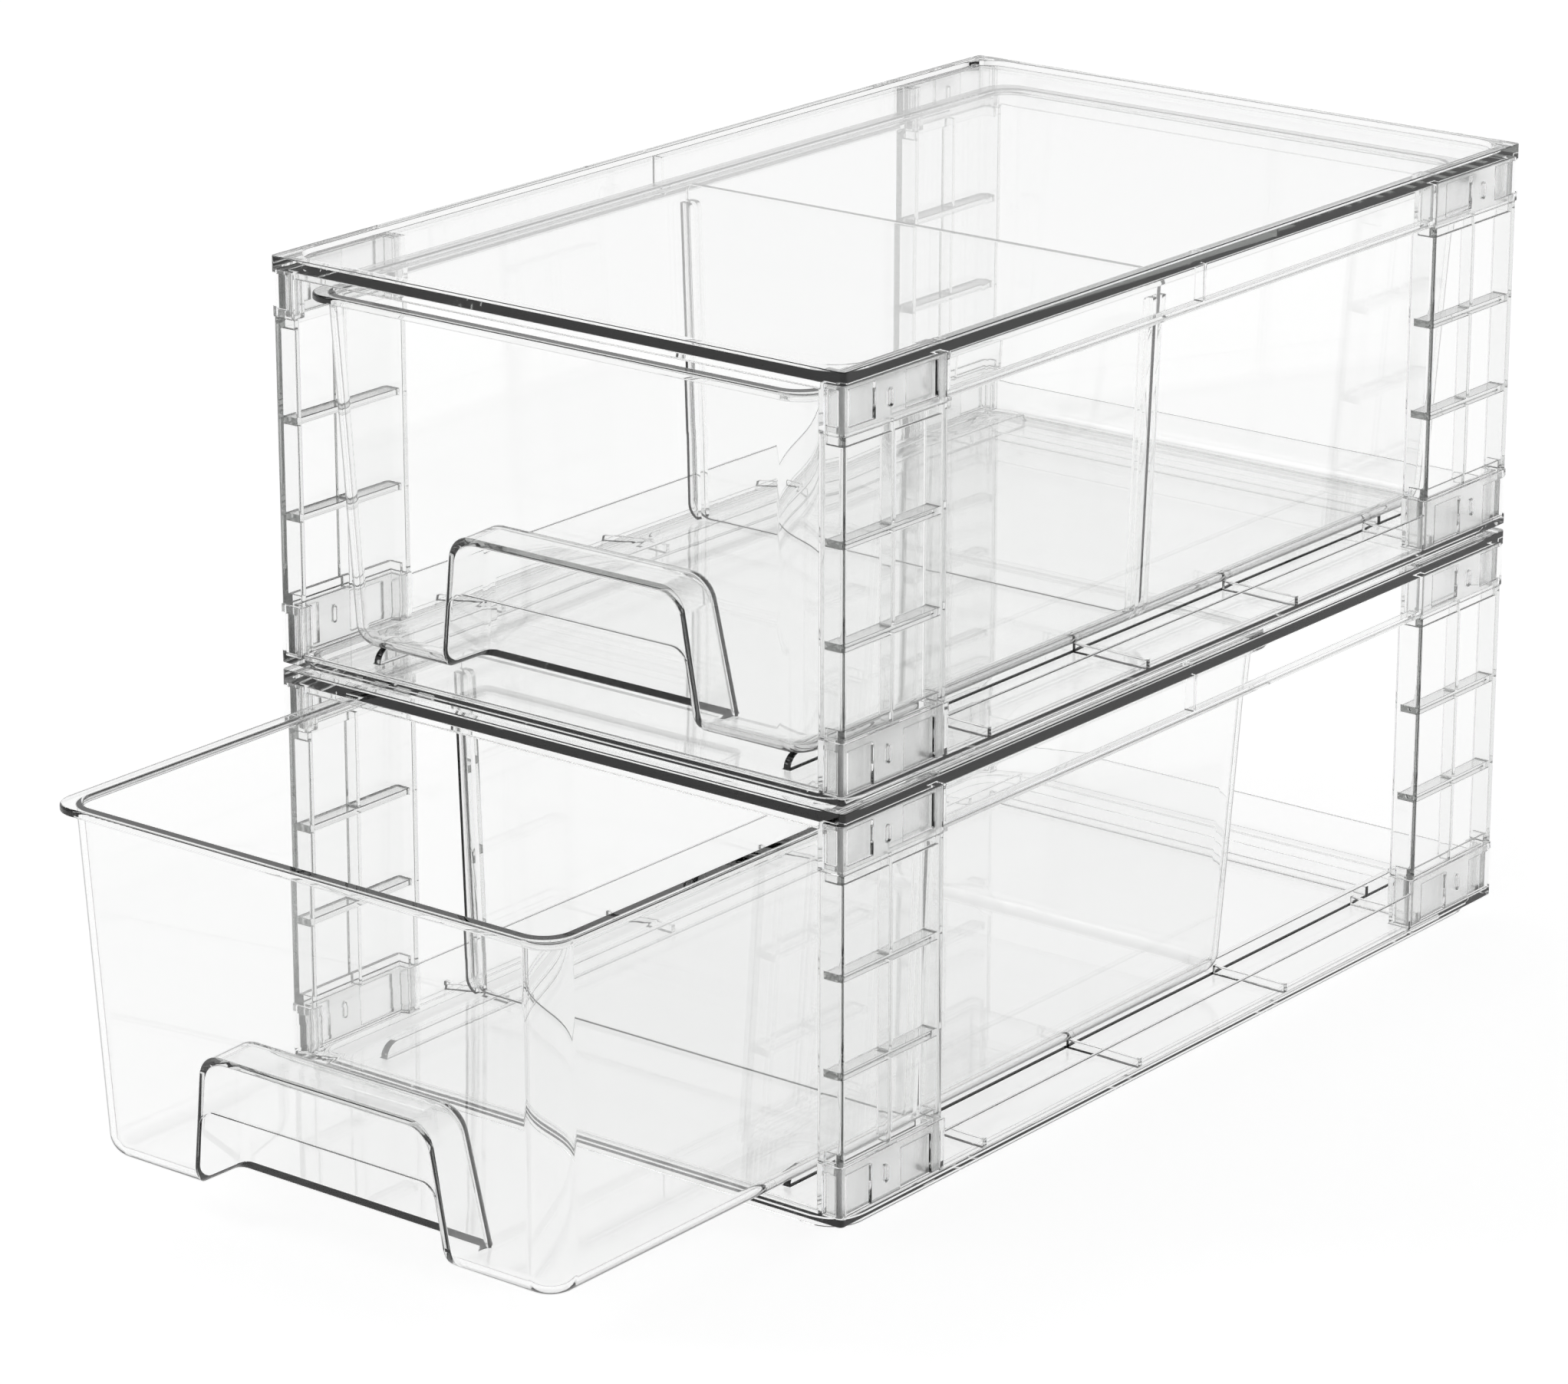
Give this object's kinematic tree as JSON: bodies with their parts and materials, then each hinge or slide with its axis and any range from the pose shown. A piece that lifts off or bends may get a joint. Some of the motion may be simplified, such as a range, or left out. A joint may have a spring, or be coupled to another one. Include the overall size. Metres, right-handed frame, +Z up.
{
  "type": "fridge bin",
  "caption": "Clear stacking fridge bin: framed housings with corner posts hold pull-out drawers, each with a handle pocket and a lift-out divider.",
  "frame": {"origin": "on the surface it stands on, at the centre of the overall footprint in the rest pose, with the lower drawer pulled out", "axes": "+Z up, -Y towards the front, the way the drawers pull out, +X to the right seen from the front, so the housing's plane of symmetry is X = 0"},
  "size_m": [0.2, 0.435, 0.2416],
  "materials": {
    "clear_panel": "clear moulded plastic, polished, the panels of the housings",
    "clear_post": "clear moulded plastic, polished, the corner posts",
    "clear_drawer": "clear moulded plastic, polished, the drawers",
    "clear_divider": "clear moulded plastic, polished, the dividers"
  },
  "bodies": {
    "lower_unit": {"lower_base_panel": "clear_panel", "lower_top_panel": "clear_panel", "lower_front_left_post": "clear_post", "lower_front_right_post": "clear_post", "lower_rear_left_post": "clear_post", "lower_rear_right_post": "clear_post"},
    "lower_drawer_set": {"lower_drawer": "clear_drawer", "lower_divider": "clear_divider"},
    "upper_unit": {"upper_base_panel": "clear_panel", "upper_top_panel": "clear_panel", "upper_front_left_post": "clear_post", "upper_front_right_post": "clear_post", "upper_rear_left_post": "clear_post", "upper_rear_right_post": "clear_post"},
    "upper_drawer_set": {"upper_drawer": "clear_drawer", "upper_divider": "clear_divider"}
  },
  "joints": [
    {"name": "lower_drawer_slide", "type": "slide", "parent": "lower_unit", "child": "lower_drawer_set", "axis": [0, -1, 0], "range_m": [-0.1045, 0.0855]},
    {"name": "upper_unit_lift", "type": "slide", "parent": "lower_unit", "child": "upper_unit", "axis": [0, 0, 1], "range_m": [0, 0.06]},
    {"name": "upper_drawer_slide", "type": "slide", "parent": "upper_unit", "child": "upper_drawer_set", "axis": [0, -1, 0], "range_m": [0, 0.19]}
  ]
}
